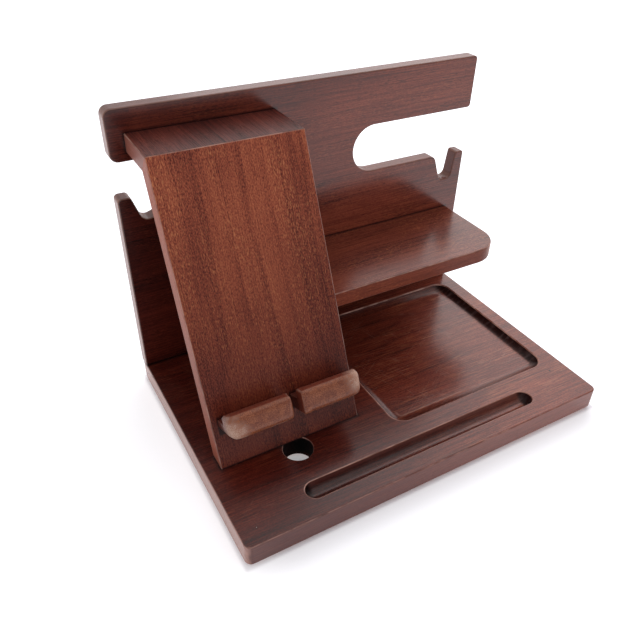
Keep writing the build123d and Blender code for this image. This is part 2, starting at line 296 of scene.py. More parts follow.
def make_board_grain():
    """Growth rings, fibres, pores and cloudy stain in wood that grows along X round the X axis."""
    inputs = {"Grain": None, **dict.fromkeys(GRAIN_INPUTS, 1.0)}
    outputs = ("Rings", "Fibres", "Pores", "Flecks", "Clouds", "Mottle")
    tree, given, result = new_group("board_grain", inputs, outputs)
    grain = given["Grain"]
    radius = vector_size(vector_sum("MULTIPLY", grain, (0.0, 1.0, 1.0)))
    slow = stretched_noise(grain, SLOW_SWAY_SCALE)
    quick = stretched_noise(grain, QUICK_SWAY_SCALE, detail=1.0)
    radius = swayed(radius, slow, given["Ring Sway"])
    radius = swayed(radius, quick, QUICK_SWAY)
    count = reckon("DIVIDE", radius, given["Ring Pitch"])
    within = reckon("FRACT", count)
    number = reckon("FLOOR", count)
    chance = fed("ShaderNodeTexWhiteNoise", {"W": number}, noise_dimensions="1D").outputs["Value"]
    rise = reckon("POWER", within, RING_SHARPNESS)
    fall = spread(within, *RING_END)
    rings = times(rise, fall, spread(chance, *RING_STRENGTH))
    tree.links.new(rings, result["Rings"])

    fibre_scale = long_cell(FIBRE_LENGTH, given["Fibre Width"])
    fibres = stretched_noise(grain, fibre_scale, detail=4.0, roughness=0.7)
    tree.links.new(spread(fibres, *FIBRE_RANGE), result["Fibres"])

    pore_scale = long_cell(given["Pore Length"], given["Pore Width"])
    pores = crowded_marks(grain, pore_scale, PORE_RANGE, PORE_CROWD_SCALE, PORE_CROWDS)
    tree.links.new(pores, result["Pores"])

    moved = vector_sum("ADD", grain, FLECKS_MOVED)
    fleck_scale = long_cell(given["Fleck Length"], given["Fleck Width"])
    flecks = crowded_marks(moved, fleck_scale, FLECK_RANGE, FLECK_CROWD_SCALE, FLECK_CROWDS)
    tree.links.new(flecks, result["Flecks"])

    clouds = stretched_noise(grain, CLOUD_SCALE, detail=3.0)
    tree.links.new(spread(clouds, *CLOUD_RANGE), result["Clouds"])

    mottle = stretched_noise(grain, MOTTLE_SCALE, roughness=0.6)
    tree.links.new(spread(mottle, *MOTTLE_RANGE), result["Mottle"])
    return tree


def make_edge_rub():
    """The rounded edges of a square board and where they are rubbed, from its normal turned square to it."""
    inputs = {"Normal": None, "Place": None, "Patchiness": 0.5}
    tree, given, result = new_group("edge_rub", inputs, ("Rub", "Edge"))
    facing = parts_of(vector_sum("ABSOLUTE", given["Normal"]))
    edge = spread(combined("MAXIMUM", facing), *EDGE_RANGE)
    tree.links.new(edge, result["Edge"])
    patches = spread(even_noise(given["Place"], RUB_SCALE, detail=4.0), *RUB_RANGE)
    kept = reckon("SUBTRACT", 1.0, given["Patchiness"])
    patches = added(kept, patches, given["Patchiness"])
    tree.links.new(times(edge, patches), result["Rub"])
    return tree


def make_dust():
    """A few tiny pale specks, on faces that look up."""
    tree, given, result = new_group("dust", {"Place": None, "Normal": None, "Spacing": 16.0}, ("Specks",))
    scale = reckon("DIVIDE", 1.0, given["Spacing"])
    cells = fed("ShaderNodeTexVoronoi", {"Vector": given["Place"], "Scale": scale})
    pick = fed("ShaderNodeSeparateColor", {0: cells.outputs["Color"]}).outputs
    reach = spread(pick[0], *SPECK_SIZES)
    speck = reckon("LESS_THAN", cells.outputs["Distance"], reach)
    up = spread(parts_of(given["Normal"])[Z], *SPECK_UP)
    tree.links.new(times(speck, up), result["Specks"])
    return tree


def make_scratches():
    """Hairline scratches that cross at several angles."""
    tree, given, result = new_group("scratches", {"Place": None, "Width": 0.02}, ("Scratches",))
    lines = []
    for turn, shift in SCRATCH_SETS:
        inputs = {"Vector": given["Place"], "Location": (shift, shift, 0.0), "Rotation": (0.0, 0.0, turn)}
        turned = fed("ShaderNodeMapping", inputs).outputs[0]
        band = stretched_noise(turned, SCRATCH_SCALE, detail=3.0, roughness=0.55)
        off = reckon("ABSOLUTE", reckon("SUBTRACT", band, 0.5))
        line = reckon("SUBTRACT", 1.0, reckon("DIVIDE", off, given["Width"]), clamp=True)
        where = stretched_noise(turned, SCRATCHED_SCALE, detail=1.0)
        where = spread(where, *SCRATCHED_RANGE)
        lines.append(times(line, where))
    tree.links.new(combined("MAXIMUM", lines), result["Scratches"])
    return tree


def make_speckle():
    """Fine even mottling with no direction, in two sizes."""
    names = [name for name, _, _ in SPECKLE_SIZES]
    tree, given, result = new_group("speckle", {"Place": None, "Size": 0.6}, names)
    scale = reckon("DIVIDE", 1.0, given["Size"])
    for name, share, detail in SPECKLE_SIZES:
        inputs = {"Vector": given["Place"], "Scale": times(scale, share), "Detail": detail}
        noise = fed("ShaderNodeTexNoise", inputs).outputs["Fac"]
        tree.links.new(spread(noise, *SPECKLE_RANGE), result[name])
    return tree


BOARD_GRAIN = make_board_grain()
EDGE_RUB = make_edge_rub()
DUST = make_dust()
SCRATCHES = make_scratches()
SPECKLE = make_speckle()

# Masks, each worked out from the place on the object in millimetres
CLOUDY_SCALE = 0.012
CLOUDY_REACH = 60.0


def place_in_millimetres(tree):
    """The place on the object, in millimetres."""
    seat = put(tree, "ShaderNodeTexCoord").outputs["Object"]
    return fed("ShaderNodeVectorMath", {0: seat, "Scale": 1 / MM}, operation="SCALE").outputs[0]


def surface_normal(tree):
    """Where the surface faces."""
    return put(tree, "ShaderNodeNewGeometry").outputs["Normal"]


def outside_box(place, low, high):
    """How far a place lies outside a box."""
    middle = tuple((first + last) / 2 for first, last in zip(low, high))
    half = tuple((last - first) / 2 for first, last in zip(low, high))
    off = vector_sum("SUBTRACT", place, middle)
    off = vector_sum("ABSOLUTE", off)
    off = vector_sum("SUBTRACT", off, half)
    off = vector_sum("MAXIMUM", off)
    return vector_size(off)


def joint_shadow_with(*boxes, reach=2.5):
    """Painted contact shadow along the joint lines with other pieces, given by their boxes."""
    def shadowed_by(place):
        near = [spread(outside_box(place, *box), 0.0, reach, 1.0, 0.0) for box in boxes]
        return combined("MAXIMUM", near)

    return shadowed_by


def shade_painted_along(axis, pale_end, dark_end):
    """Painted shade that deepens along one axis from one place to another, in clouds, where the light falls
    off.
    """
    def depth(place):
        clouds = even_noise(place, CLOUDY_SCALE)
        part = swayed(parts_of(place)[axis], clouds, CLOUDY_REACH)
        return spread(part, pale_end, dark_end)

    return depth


# What painted shade, painted shadow in a joint and thicker stain on an edge leave of the colour beneath them
# painted shade, where the light falls off along a board and in a ledge's slot
PAINTED_SHADE = (0.40, 0.26, 0.27, 1.0)
JOINT_SHADOW = (0.22, 0.13, 0.14, 1.0)  # painted contact shadow in a joint
EDGE_STAIN = (0.42, 0.34, 0.36, 1.0)  # which is thicker on an edge

# What all the boards have in common
SIDE_RANGE = (0.75, 0.25)  # of how far a face looks where the broad faces do
END_RANGE = (0.5, 0.85)  # of how far a face looks left or right
END_PLACE = BASE_HIGH.x / MM - 3.0  # past this, to left and right, lies the end grain of base and panel
END_RINGS, END_MOTTLE = (0.1, 0.9), 0.25
FIBRE_SMOOTHNESS = 0.08
PORE_DULLNESS, PORE_DEPTH = 0.15, 0.8
GLOSS_WORN_OFF = 0.5
WOOD_RELIEF = (0.05, 0.5)  # how deep in millimetres, and how strong
DUST_COLOUR, DUST_COVER = tint(205, 196, 190), 0.85

# What a board's finish has unless its own part changes it. The turn brings the grain onto X, the heart is
# the growth rings' middle after that turn, square turns the faces square to the axes, and face is the axis
# that the broad faces look along. Widths and lengths are millimetres, the rest are strengths.
BOARD = dict(
    turn=(0.0, 0.0, 0.0), heart=(0.0, 0.0, 0.0), square=0.0, face=Z,
    rings=0.25, pitch=3.4, sway=6.0, fibres=0.45, fibre_width=0.45, clouds=0.35, mottle=0.3,
    pores=0.7, pore_width=0.55, pore_length=4.5, flecks=0.25, fleck_width=0.5, fleck_length=2.2,
    side_share=0.6, side_depth=1.0, side_gloss=0.6, end_share=0.0,
    edge_stain=0.5, rub=0.6, patchiness=0.6, rub_where=None,
    gloss=1.0, gloss_roughness=0.2, roughness=0.5, sheen=0.15,
    depth=None, joints=None, details=None,
)


def board_pattern(look, place):
    """The grain of one board."""
    start = tuple(-value for value in look["heart"])
    turned = fed("ShaderNodeMapping", {"Vector": place, "Location": start, "Rotation": look["turn"]})
    own = {socket: look[name] for socket, name in GRAIN_INPUTS.items()}
    return use_group(BOARD_GRAIN, {"Grain": turned.outputs[0], **own})


def board_masks(look, place, normal):
    """Where one board shows its narrow sides, its end grain and its edges, and where these are rubbed."""
    inputs = {"Vector": normal, "Angle": look["square"]}
    squared = fed("ShaderNodeVectorRotate", inputs, rotation_type="X_AXIS").outputs[0]
    facing = parts_of(squared)
    side = spread(reckon("ABSOLUTE", facing[look["face"]]), *SIDE_RANGE)
    past_end = reckon("GREATER_THAN", reckon("ABSOLUTE", parts_of(place)[X]), END_PLACE)
    endways = spread(reckon("ABSOLUTE", facing[X]), *END_RANGE)
    end = times(past_end, endways, look["end_share"])
    inputs = {"Normal": squared, "Place": place, "Patchiness": look["patchiness"]}
    edges = use_group(EDGE_RUB, inputs)
    worn = edges["Rub"]
    if look["rub_where"] is not None:
        worn = times(worn, look["rub_where"](place))
    return side, end, edges["Edge"], worn


def board_colour(look, place, grain, side, end):
    """The wood's colour under its stain, with painted shade along the board, before the painted shadow at
    joint lines and what wears off the edges.
    """
    dark, side_colour, rubbed = (tint(*look[name]) for name in ("dark", "side", "rubbed"))
    tone = 0.5 - look["fibres"] / 2 - look["clouds"] / 2 - look["mottle"] / 2
    for pattern, strength in (("Fibres", "fibres"), ("Clouds", "clouds"), ("Mottle", "mottle")):
        tone = added(tone, grain[pattern], look[strength])
    tone = reckon("SUBTRACT", tone, times(grain["Rings"], look["rings"]), clamp=True)
    ramp = fed("ShaderNodeValToRGB", {"Fac": tone})
    ramp.color_ramp.elements[0].color = dark
    ramp.color_ramp.elements[1].color = tint(*look["light"])
    ramp.color_ramp.elements.new(0.5).color = tint(*look["middle"])
    colour = ramp.outputs["Color"]
    colour = blend_colour(times(grain["Flecks"], look["flecks"]), colour, tint(*look["fleck"]))
    colour = blend_colour(times(grain["Pores"], look["pores"]), colour, dark)
    colour = blend_colour(times(side, look["side_share"]), colour, side_colour)
    # painted shade that deepens along the board, less on its sides and none on end grain
    if look["depth"] is not None:
        shaded = less_by(look["depth"](place), end)
        shaded = less_by(shaded, side, 1.0 - look["side_depth"])
        colour = darkened_by(colour, shaded, PAINTED_SHADE)
    end_tone = added(spread(grain["Rings"], *END_RINGS), grain["Mottle"], END_MOTTLE)
    end_colour = blend_colour(end_tone, rubbed, side_colour)
    return blend_colour(end, colour, end_colour)


class Skin:
    """What a finish shows at each place: its colour, roughness, height and coat of lacquer."""

    def __init__(self, colour, rough, height, coat):
        self.colour = colour
        self.rough = rough
        self.height = height
        self.coat = coat


def stained_wood(name, **changes):
    """Stained wood under lacquer, with the changes to what BOARD says and six colours of its own.

    The colours are dark, middle and light for the grain, then fleck, side and rubbed.
    """
    look = {**BOARD, **changes}
    material = bpy.data.materials.new(name)
    tree = emptied_tree(material)
    place = place_in_millimetres(tree)
    normal = surface_normal(tree)
    grain = board_pattern(look, place)
    side, end, edge, worn = board_masks(look, place, normal)

    colour = board_colour(look, place, grain, side, end)
    # painted contact shadow along the joint lines
    if look["joints"] is not None:
        colour = darkened_by(colour, look["joints"](place), JOINT_SHADOW)
    colour = darkened_by(colour, times(edge, look["edge_stain"]), EDGE_STAIN)
    colour = blend_colour(times(worn, look["rub"]), colour, tint(*look["rubbed"]))
    rough = added(look["roughness"] + FIBRE_SMOOTHNESS / 2, grain["Fibres"], -FIBRE_SMOOTHNESS)
    rough = added(rough, grain["Pores"], PORE_DULLNESS)
    height = added(grain["Fibres"], grain["Pores"], -PORE_DEPTH)
    coat = added(look["gloss"], side, look["side_gloss"] - look["gloss"])
    coat = less_by(coat, worn, GLOSS_WORN_OFF)

    skin = Skin(colour, rough, height, coat)
    if look["details"] is not None:
        look["details"](place, normal, skin)
    specks = use_group(DUST, {"Place": place, "Normal": normal})["Specks"]
    colour = blend_colour(times(specks, DUST_COVER), skin.colour, DUST_COLOUR)
    inputs = {
        "Base Color": colour,
        "Roughness": skin.rough,
        "Specular IOR Level": look["sheen"],
        "Coat Weight": skin.coat,
        "Coat Roughness": look["gloss_roughness"],
        "Normal": bumped(skin.height, *WOOD_RELIEF),
    }
    show(fed("ShaderNodeBsdfPrincipled", inputs))
    return material


class Outline:
    """A rounded rectangle seen from above: its sides and its corners' radius."""

    def __init__(self, left, front, right, back, radius):
        self.left = left
        self.front = front
        self.right = right
        self.back = back
        self.radius = radius


# Places on the base
TRAY = Outline(-8.6, -49.05, 114.6, 64.85, 10.0)
TRAY_FLOOR, ON_FLOOR = 11.9, 0.3  # and how far above it a place still counts as on it
COVE_FOOT = Outline(-0.85, -41.3, 106.85, 57.1, 2.3)  # where the tray's curved sides meet its floor
GROOVE = Outline(-82.0, -73.75, 82.0, -61.95, 5.9)
BASE_TOP = BASE_HIGH.z / MM
RIM_DROP = 0.75  # how far below the top a rim still counts as one
ROUTED_BOX = ((-95.0, -75.5, 4.0), (116.0, 66.0, BASE_TOP - RIM_DROP))  # round all the milled walls
HOLE_MIDDLE, HOLE_REACH = (-70.7, -37.35, 0.0), 9.4  # of the cable hole, to just past its wall
PIN_KNOT = (111.1, -56.5, BASE_TOP)
TOUCHING = 0.01
ROUND_GROOVE = 1.0  # how far behind the groove its wall still counts

# How the base is worn and marked, with painted highlights on its tray's rims and painted shade in its milled
# walls and cable hole
OUTER_RIM = 6.0  # width of the strip along the base's outside
OUTER_RUB = 0.5
RIM_LINE = (0.25, 1.1)  # where a pale line starts to fade and where it ends, from the outline
# strength of the rim lines, which are partly wear and partly painted highlight
RIM_WEAR_AND_HIGHLIGHT_SHARE = 0.5
GROOVE_WEAR = 0.6  # of a rim line's full wear
UNEVEN_SCALE, UNEVEN_WEAR = 0.1, (0.35, 0.65, 0.3, 1.0)
FADE_AT_LEFT = (2.0, 14.0, 1.0, 0.2)  # of the tray's rim: from and to the place, then from and to the line's strength, which near the left wall is a painted highlight
FADE_TO_RIGHT = (10.0, 123.2, 0.6, 0.0)  # of the painted highlight along the cove's foot, from the tray's left
FADE_TO_BACK = (1.0, 7.0, 1.0, 0.0)  # of the same line, from the foot's front
# pale rim lines: rubbed wear, and painted highlights at the tray's left rim and the cove's foot
RIM_WEAR_AND_HIGHLIGHT_COLOUR = tint(196, 146, 128)
SCRATCH_WIDTH, SCRATCH_DEPTH = 0.010, 0.5
SCRATCHES_SEEN, SEEN_IN_TRAY = 0.05, 0.12
LEVEL = 0.9  # faces that look up by more than this have scratches
SCRATCH_COLOUR = tint(176, 136, 120)
SCORCH_AND_SHADE = (0.10, 0.07, 0.08, 1.0)  # what scorching, a knot and painted shade on the milled walls leave of a colour
SCORCHED_SLOPE = (0.998, 0.965)  # of how far a wall looks up
SHADED_SIDE = (-0.3, 0.45)  # of how far it looks left, away from the lamp, or in the groove to either side; this picks where the painted shade falls
SCORCHED_GLOSS_LOSS = 0.85
CHATTER_SCALE, CHATTER_HEIGHT = (0.1, 0.35, 0.08), 1.2
STREAK_COLOUR, STREAK_RANGE, STREAK_STRENGTH = tint(118, 96, 94), (0.48, 0.72), 0.22
# painted shade on the cable hole's wall, and how rough that wall is
BORE_SHADE, BORE_ROUGHNESS = (0.35, 0.27, 0.29, 1.0), 0.8
BORE_SLOPE = (0.7, 0.3)  # of how far the hole's wall looks up
UNDERSIDE_RANGE = (-0.5, -0.9)
UNDERSIDE_COLOUR, UNDERSIDE_SHARE, UNDERSIDE_GLOSS_LOSS = tint(150, 96, 76), 0.35, 0.8
KNOT_SIZE, KNOT_DEPTH = (0.4, 1.0, 1.0, 0.0), 2.0


def base_rim(place):
    """How far the base's edges are rubbed: well round the tray, groove and hole, less round the outside."""
    parts = parts_of(place)
    top = reckon("GREATER_THAN", parts[Z], BASE_TOP - RIM_DROP)
    side = reckon("GREATER_THAN", reckon("ABSOLUTE", parts[X]), BASE_HIGH.x / MM - OUTER_RIM)
    end = reckon("GREATER_THAN", reckon("ABSOLUTE", parts[Y]), BASE_HIGH.y / MM - OUTER_RIM)
    return blend_value(reckon("MAXIMUM", side, end), top, OUTER_RUB)


def line_round(place, outline, level):
    """A thin line along an outline, just below a level."""
    inset = outline.radius
    low = (outline.left + inset, outline.front + inset, level - RIM_DROP)
    high = (outline.right - inset, outline.back - inset, level)
    off = reckon("SUBTRACT", outside_box(place, low, high), inset)
    return spread(reckon("ABSOLUTE", off), *RIM_LINE, 1.0, 0.0)


def fade(part, start, course):
    """A mask that fades along one part of the place, by a course that is measured from its start."""
    near, far, first, last = course
    return spread(part, start + near, start + far, first, last)


def scratched_top(place, facing, in_tray, skin):
    """Fine scratches on the faces that look up, seen best on the tray's floor."""
    lines = use_group(SCRATCHES, {"Place": place, "Width": SCRATCH_WIDTH})["Scratches"]
    lines = times(lines, reckon("GREATER_THAN", facing[Z], LEVEL))
    seen = added(SCRATCHES_SEEN, in_tray, SEEN_IN_TRAY)
    skin.colour = blend_colour(times(lines, seen), skin.colour, SCRATCH_COLOUR)
    skin.height = added(skin.height, lines, -SCRATCH_DEPTH)


def worn_and_highlighted_rims(place, in_tray, skin):
    """Thin pale lines: rubbed wear round the tray and the groove, and painted highlights on the tray's rim
    near its left wall and along the foot of the tray's front and left.
    """
    parts = parts_of(place)
    # the tray's rim line is full only near its left wall, where it is a painted highlight
    tray_rim = line_round(place, TRAY, BASE_TOP)
    tray_rim = times(tray_rim, fade(parts[X], TRAY.left, FADE_AT_LEFT))
    groove_rim = times(line_round(place, GROOVE, BASE_TOP), GROOVE_WEAR)
    rims = reckon("MAXIMUM", tray_rim, groove_rim)
    rims = times(rims, reckon("GREATER_THAN", parts[Z], BASE_TOP - RIM_DROP))
    # painted highlight along the foot of the cove
    foot = times(
        line_round(place, COVE_FOOT, TRAY_FLOOR + RIM_DROP / 2),
        in_tray,
        fade(parts[X], TRAY.left, FADE_TO_RIGHT),
        fade(parts[Y], COVE_FOOT.front, FADE_TO_BACK),
    )
    uneven = spread(even_noise(place, UNEVEN_SCALE, detail=3.0), *UNEVEN_WEAR)
    lines = times(reckon("MAXIMUM", rims, foot), uneven, RIM_WEAR_AND_HIGHLIGHT_SHARE)
    skin.colour = blend_colour(lines, skin.colour, RIM_WEAR_AND_HIGHLIGHT_COLOUR)


def scorched_and_shaded_walls(place, facing, skin):
    """Walls that the cutter scorched and left rough, darkened also by painted shade: most where they look
    left, away from the lamp, in the groove both.
    """
    milled = reckon("LESS_THAN", outside_box(place, *ROUTED_BOX), TOUCHING)
    sloping = spread(facing[Z], *SCORCHED_SLOPE)
    in_groove = reckon("LESS_THAN", parts_of(place)[Y], GROOVE.back + ROUND_GROOVE)
    leftward = times(facing[X], -1.0)
    sideways = blend_value(in_groove, leftward, reckon("ABSOLUTE", facing[X]))
    # painted shade on the walls that look away from the light, together with the scorch
    scorch_and_shade = times(milled, sloping, spread(sideways, *SHADED_SIDE))
    chatter = stretched_noise(place, CHATTER_SCALE, detail=3.0)
    streaks = times(spread(chatter, *STREAK_RANGE), scorch_and_shade, STREAK_STRENGTH)
    skin.colour = darkened_by(skin.colour, scorch_and_shade, SCORCH_AND_SHADE)
    skin.colour = blend_colour(streaks, skin.colour, STREAK_COLOUR)
    skin.coat = less_by(skin.coat, scorch_and_shade, SCORCHED_GLOSS_LOSS)
    skin.height = added(skin.height, times(scorch_and_shade, chatter), CHATTER_HEIGHT)


def drilled_wall(place, facing, skin):
    """The cable hole's wall, dark from painted shade, and dull."""
    from_hole = vector_sum("SUBTRACT", place, HOLE_MIDDLE)
    off = vector_size(vector_sum("MULTIPLY", from_hole, (1.0, 1.0, 0.0)))
    wall = times(reckon("LESS_THAN", off, HOLE_REACH), spread(facing[Z], *BORE_SLOPE))
    skin.colour = darkened_by(skin.colour, wall, BORE_SHADE)
    skin.coat = less_by(skin.coat, wall)
    skin.rough = reckon("MAXIMUM", skin.rough, times(wall, BORE_ROUGHNESS))


def thin_underside(facing, skin):
    """The underside, where the stain and the lacquer are thin."""
    beneath = spread(facing[Z], *UNDERSIDE_RANGE)
    skin.colour = blend_colour(times(beneath, UNDERSIDE_SHARE), skin.colour, UNDERSIDE_COLOUR)
    skin.coat = less_by(skin.coat, beneath, UNDERSIDE_GLOSS_LOSS)


def pin_knot(place, skin):
    """A tiny dark knot near the front right corner."""
    knot = spread(distance_from(place, PIN_KNOT), *KNOT_SIZE)
    skin.colour = darkened_by(skin.colour, knot, SCORCH_AND_SHADE)
    skin.height = added(skin.height, knot, -KNOT_DEPTH)


def base_details(place, normal, skin):
    """What only the base shows."""
    facing = parts_of(normal)
    in_tray = reckon("LESS_THAN", parts_of(place)[Z], TRAY_FLOOR + ON_FLOOR)
    scratched_top(place, facing, in_tray, skin)
    worn_and_highlighted_rims(place, in_tray, skin)
    scorched_and_shaded_walls(place, facing, skin)
    drilled_wall(place, facing, skin)
    thin_underside(facing, skin)
    pin_knot(place, skin)


# The panel
PANEL_PALE, PANEL_DARK = 20.0, -90.0  # where its painted shade starts to deepen, and where it is deepest
PANEL_BACK = (0.3, 0.9)  # of how far a face looks back
PANEL_BACK_GLOSS_LOSS, PANEL_BACK_ROUGHNESS = 0.7, 0.1
RAIL_EDGE, RAIL_BLEND = 150.0, 12.0  # where the top rail begins, above the floor
RAIL_SHADE = 0.6  # of the full painted shade, on the rail
RAIL_END, RAIL_END_BLEND = -117.0, 20.0  # left of this the rail has its full painted shade again


def panel_depth(place):
    """Painted shade on the panel: it deepens to the left, and less on the top rail than below it, where the
    panel stands in shade behind the leaning board.
    """
    parts = parts_of(place)
    leftward = shade_painted_along(X, PANEL_PALE, PANEL_DARK)(place)
    below = spread(parts[Z], RAIL_EDGE - RAIL_BLEND, RAIL_EDGE, 1.0, RAIL_SHADE)
    at_end = spread(parts[X], RAIL_END + RAIL_END_BLEND, RAIL_END)
    return times(leftward, reckon("MAXIMUM", below, at_end))


def panel_back(place, normal, skin):
    """The panel's back, which got a single thin coat."""
    behind = spread(parts_of(normal)[Y], *PANEL_BACK)
    skin.coat = less_by(skin.coat, behind, PANEL_BACK_GLOSS_LOSS)
    skin.rough = added(skin.rough, behind, PANEL_BACK_ROUGHNESS)


# Boards
ALONG_SLOPE = (-STAND_LEAN, 0.0, -math.pi / 2)
ALONG_Y = (0.0, 0.0, -math.pi / 2)
FOOT_DEPTH, FOOT_HEIGHT = 10.4, 3.0  # of the leaning board's foot, from its front and above the base
STAND_FOOT = (
    (STAND_LOW.x / MM, STAND_LOW.y / MM, 0.0),
    (STAND_HIGH.x / MM, STAND_LOW.y / MM + FOOT_DEPTH, BASE_TOP + FOOT_HEIGHT),
)
BASE_BOX = box_of("base_board")
PANEL_BOX = box_of("back_panel")
LEDGE_BOXES = (box_of("left_ledge"), box_of("right_ledge"))

FINISHES = {
    "base_board": stained_wood(
        "base_finish",
        dark=(56, 15, 10), middle=(114, 44, 29), light=(158, 76, 50),
        fleck=(192, 118, 80), side=(150, 102, 94), rubbed=(202, 154, 140),
        turn=(0.0, math.radians(0.6), math.radians(1.2)), heart=(0.0, 30.0, -70.0),
        pitch=4.6, sway=14.0, fibre_width=0.7, clouds=0.25, mottle=0.35,
        pores=0.45, pore_length=3.5, flecks=0.4, fleck_length=14.0,
        side_share=0.55, side_depth=0.8, end_share=0.8,
        edge_stain=0.25, rub=0.8, patchiness=0.75, rub_where=base_rim,
        gloss_roughness=0.23, sheen=0.08,
        # painted shade darkens the base to the left; painted contact shadow runs round the leaning board's
        # foot and the panel
        depth=shade_painted_along(X, 100.0, -80.0), joints=joint_shadow_with(STAND_FOOT, PANEL_BOX), details=base_details,
    ),
    "back_panel": stained_wood(
        "panel_finish",
        dark=(56, 16, 11), middle=(108, 44, 30), light=(146, 70, 49),
        fleck=(184, 106, 68), side=(104, 58, 50), rubbed=(186, 140, 124),
        turn=(0.0, math.radians(0.8), math.radians(0.3)), heart=(0.0, 190.0, 60.0), face=Y,
        sway=10.0, fibre_width=0.6, mottle=0.25,
        pore_width=0.6, pore_length=4.0,
        side_share=0.5, side_depth=0.3, end_share=0.6,
        edge_stain=0.75, rub=0.35, patchiness=0.35,
        sheen=0.08,
        # painted shade darkens the panel to the left and below its rail; painted contact shadow runs along
        # the boards that meet it
        depth=panel_depth, joints=joint_shadow_with(box_of("top_board"), box_of("shelf"), BASE_BOX, reach=2.0),
        details=panel_back,
    ),
    "phone_board": stained_wood(
        "phone_board_finish",
        dark=(80, 25, 17), middle=(145, 67, 45), light=(180, 98, 64),
        fleck=(212, 134, 86), side=(188, 112, 92), rubbed=(214, 168, 152),
        turn=ALONG_SLOPE, heart=(0.0, 120.0, -150.0), square=-STAND_LEAN,
        rings=0.35, pitch=3.8, sway=9.0, fibres=0.35, clouds=0.4, mottle=0.7,
        pores=0.5, pore_length=2.8, flecks=0.5, fleck_width=0.65, fleck_length=2.4,
        side_depth=0.35, side_gloss=0.1,
        gloss=0.35, gloss_roughness=0.24,
        # painted shade darkens the leaning board towards its foot; painted shadow lies under the ledges and
        # along the base
        depth=shade_painted_along(Z, 165.0, 20.0), joints=joint_shadow_with(*LEDGE_BOXES, BASE_BOX, reach=1.0),
    ),
    "top_board": stained_wood(
        "top_board_finish",
        dark=(40, 13, 12), middle=(83, 34, 28), light=(116, 55, 43),
        fleck=(148, 80, 58), side=(172, 104, 86), rubbed=(206, 160, 142),
        turn=ALONG_Y, heart=(0.0, 140.0, 40.0),
        fibres=0.6, fibre_width=0.6, mottle=0.2,
        pore_length=7.0,
        side_gloss=0.2,
        gloss=0.2, gloss_roughness=0.28,
        # painted contact shadow along the panel
        joints=joint_shadow_with(PANEL_BOX, reach=1.2),
    ),
    "shelf": stained_wood(
        "shelf_finish",
        dark=(58, 18, 12), middle=(108, 46, 32), light=(140, 70, 48),
        fleck=(180, 104, 64), side=(150, 82, 62), rubbed=(196, 150, 134),
        turn=(0.0, math.radians(-0.5), math.radians(-0.9)), heart=(0.0, -60.0, 10.0),
        pitch=3.8, sway=8.0, fibres=0.5, fibre_width=0.6,
        pore_width=0.6, flecks=0.4,
        side_share=0.25, side_gloss=0.2,
        gloss=0.8, gloss_roughness=0.24, sheen=0.1,
        # painted contact shadow along the panel
        joints=joint_shadow_with(PANEL_BOX, reach=1.2),
    ),
}

# Ledges: blocks whose corners were sanded round by hand
SLOPE_OUT = Vector((0.0, -math.sin(STAND_LEAN), math.cos(STAND_LEAN)))
SLOPE_UP = Vector((0.0, math.cos(STAND_LEAN), math.sin(STAND_LEAN)))
STAND_TOE = Vector((0.0, STAND_LOW.y, BASE_HIGH.z))
SLOT_DEPTH, SLOT_HEIGHT = 9.4 * MM, 28.9 * MM  # of the slot behind the lip, from the board's face and toe
DOWEL_HEIGHT, DOWEL_ROOM, DOWEL_DEPTH = 24.45 * MM, 3.2 * MM, 11.0 * MM
SEAT_DEPTH = 0.9 * MM  # next to the leaning board, where a ledge keeps its shape
FREE_MARGIN = 1.2 * MM  # into the slot, where the lip's edge may still be smoothed
CRISP_LENGTH = 3.5 * MM  # next to the end that stayed nearly square
LEDGE_VOXEL = 0.42 * MM
MERGE_DISTANCE = 0.001 * MM
FIRST_PASSES, ROUNDING_PASSES, EVEN_PASSES = 10, 80, 4
LEDGE_SPECKLE = 0.5
LIP_START, LIP_FULL = -1.0, 2.5  # where the lip's own colour starts and is whole, past the slot
SLOT_SHADE = 0.7  # how much painted shade darkens the slot behind the lip
LIP_FRONT = (0.1, 0.75)  # of how far a face looks out from the leaning board
GOLDEN_SHARE, GOLDEN_SWAY = 0.85, 0.3
GOLDEN_FINE, GOLDEN_COARSE = 0.55, 0.14
BARE_RANGE = (0.5, 12.0, 0.75, 0.0)  # of the distance from a worn corner
BARE_SWAY, BARE_FINE_SWAY = 3.0, 1.6
BARE_MOTTLE, BARE_ROUGHNESS = 0.8, 0.15
LEDGE_GOLDEN = tint(98, 43, 26)
LEDGE_PALE = tint(172, 103, 68)
LEDGE_BARE = tint(220, 186, 168)
LEDGE_WORN = tint(172, 132, 114)
WORN_CORNERS = ((-109.5, -37.0, 44.5), (-28.0, -34.0, 51.0))


def golden_front(place, normal, speckle, skin):
    """The lip, rubbed through to a golden brown on its front. Behind it the ledge is darker, with painted
    shade in the slot.
    """
    from_toe = vector_sum("SUBTRACT", place, in_millimetres(STAND_TOE))
    outward = share_along(from_toe, SLOPE_OUT)
    lip = spread(outward, SLOT_DEPTH / MM + LIP_START, SLOT_DEPTH / MM + LIP_FULL)
    # painted shade in the slot behind the lip
    skin.colour = darkened_by(skin.colour, added(SLOT_SHADE, lip, -SLOT_SHADE), PAINTED_SHADE)
    front = times(lip, spread(share_along(normal, SLOPE_OUT), *LIP_FRONT))
    front = times(front, swayed(GOLDEN_SHARE, speckle["Coarse"], GOLDEN_SWAY))
    pale = added(times(speckle["Fine"], GOLDEN_FINE), speckle["Coarse"], GOLDEN_COARSE)
    golden = blend_colour(pale, LEDGE_GOLDEN, LEDGE_PALE)
    skin.colour = blend_colour(front, skin.colour, golden)


